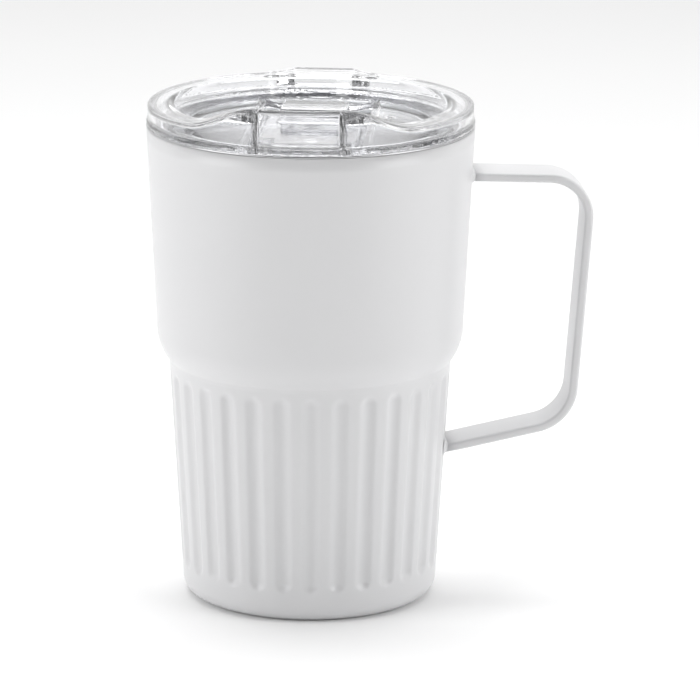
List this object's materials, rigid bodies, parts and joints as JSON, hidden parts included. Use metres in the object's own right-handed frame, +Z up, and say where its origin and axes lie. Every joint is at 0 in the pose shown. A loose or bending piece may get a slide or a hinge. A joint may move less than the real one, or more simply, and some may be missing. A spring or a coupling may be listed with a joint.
{
  "type": "insulated drinking mug",
  "caption": "Double-wall steel mug with a rounded shoulder over a fluted lower section, a flat strap handle, and a clear press-in lid with a raised spout, a lift tab and a sliding closure",
  "frame": {"origin": "on the cup's axis, in the plane that it stands on", "axes": "+Z up along the cup's axis, +X towards the handle, -Y towards the drinking side"},
  "size_m": [0.1199, 0.0934, 0.1414],
  "materials": {
    "white_coat": "satin white powder coat on stainless steel",
    "liner_steel": "brushed stainless steel, electropolished",
    "inner_steel": "plain stainless sheet, unseen inside the walls",
    "seal_bead": "dark glassy sealing bead",
    "getter_metal": "pressed grey metal powder",
    "clear_lid": "clear moulded plastic, polished",
    "clear_slider": "clear moulded plastic, polished",
    "soft_seal": "translucent silicone"
  },
  "bodies": {
    "cup": {"outer_shell": "white_coat", "shell_bottom": "inner_steel", "base_cover": "white_coat", "vacuum_seal": "seal_bead", "getter": "getter_metal", "getter_clip": "inner_steel", "liner_wall": "liner_steel", "liner_bottom": "liner_steel", "handle": "white_coat", "handle_welds": "white_coat"},
    "lid_ring": {"lid_seal": "soft_seal"},
    "lid": {"lid_body": "clear_lid"},
    "closure": {"slider": "clear_slider", "slider_clip": "clear_slider"}
  },
  "joints": [
    {"name": "lid_lift", "type": "slide", "parent": "cup", "child": "lid_ring", "axis": [0, 0, 1], "range_m": [0, 0.05]},
    {"name": "lid_turn", "type": "hinge", "parent": "lid_ring", "child": "lid", "pos_m": [0, 0, 0.1296], "axis": [0, 0, 1], "continuous": true},
    {"name": "slider_slide", "type": "slide", "parent": "lid", "child": "closure", "axis": [-0.1564, -0.9877, 0], "range_m": [0, 0.015]}
  ]
}
